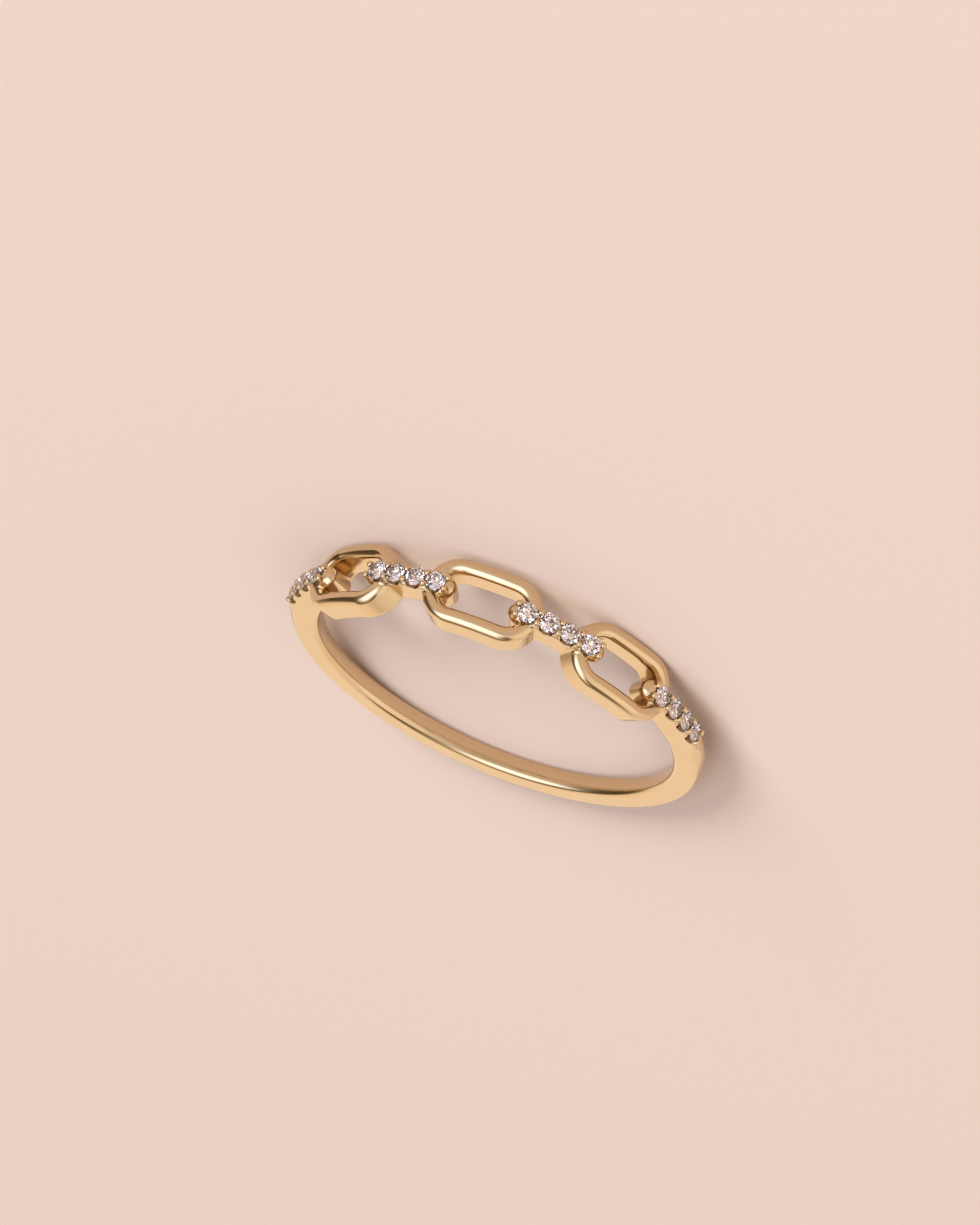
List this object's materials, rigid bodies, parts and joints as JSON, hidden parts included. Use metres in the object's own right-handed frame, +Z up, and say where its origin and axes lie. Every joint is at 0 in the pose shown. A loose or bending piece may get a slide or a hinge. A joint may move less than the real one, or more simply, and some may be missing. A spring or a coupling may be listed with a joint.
{
  "type": "chain link ring",
  "caption": "Slim finger ring lying on its side: open chain links across its front, parted by short bars, with rows of small round stones on the bars and shoulders.",
  "frame": {"origin": "on the surface the ring lies on, under the centre of its finger hole", "axes": "+Z up from that surface; +Y towards the middle link; +X along the ring's other diameter, to the right when the middle link is away from the viewer. The ring leans 4.1 degrees about X, because the links are wider than the band"},
  "size_m": [0.0202, 0.0203, 0.0035],
  "materials": {
    "gold": "polished 14 carat gold",
    "stone": "clear, cut and polished"
  },
  "bodies": {
    "root": {"cast_ring": "gold", "left_shoulder_stone_1": "stone", "left_shoulder_stone_2": "stone", "left_shoulder_stone_3": "stone", "left_shoulder_stone_4": "stone", "left_bar_stone_1": "stone", "left_bar_stone_2": "stone", "left_bar_stone_3": "stone", "left_bar_stone_4": "stone", "right_bar_stone_1": "stone", "right_bar_stone_2": "stone", "right_bar_stone_3": "stone", "right_bar_stone_4": "stone", "right_shoulder_stone_1": "stone", "right_shoulder_stone_2": "stone", "right_shoulder_stone_3": "stone", "right_shoulder_stone_4": "stone"}
  },
  "joints": []
}
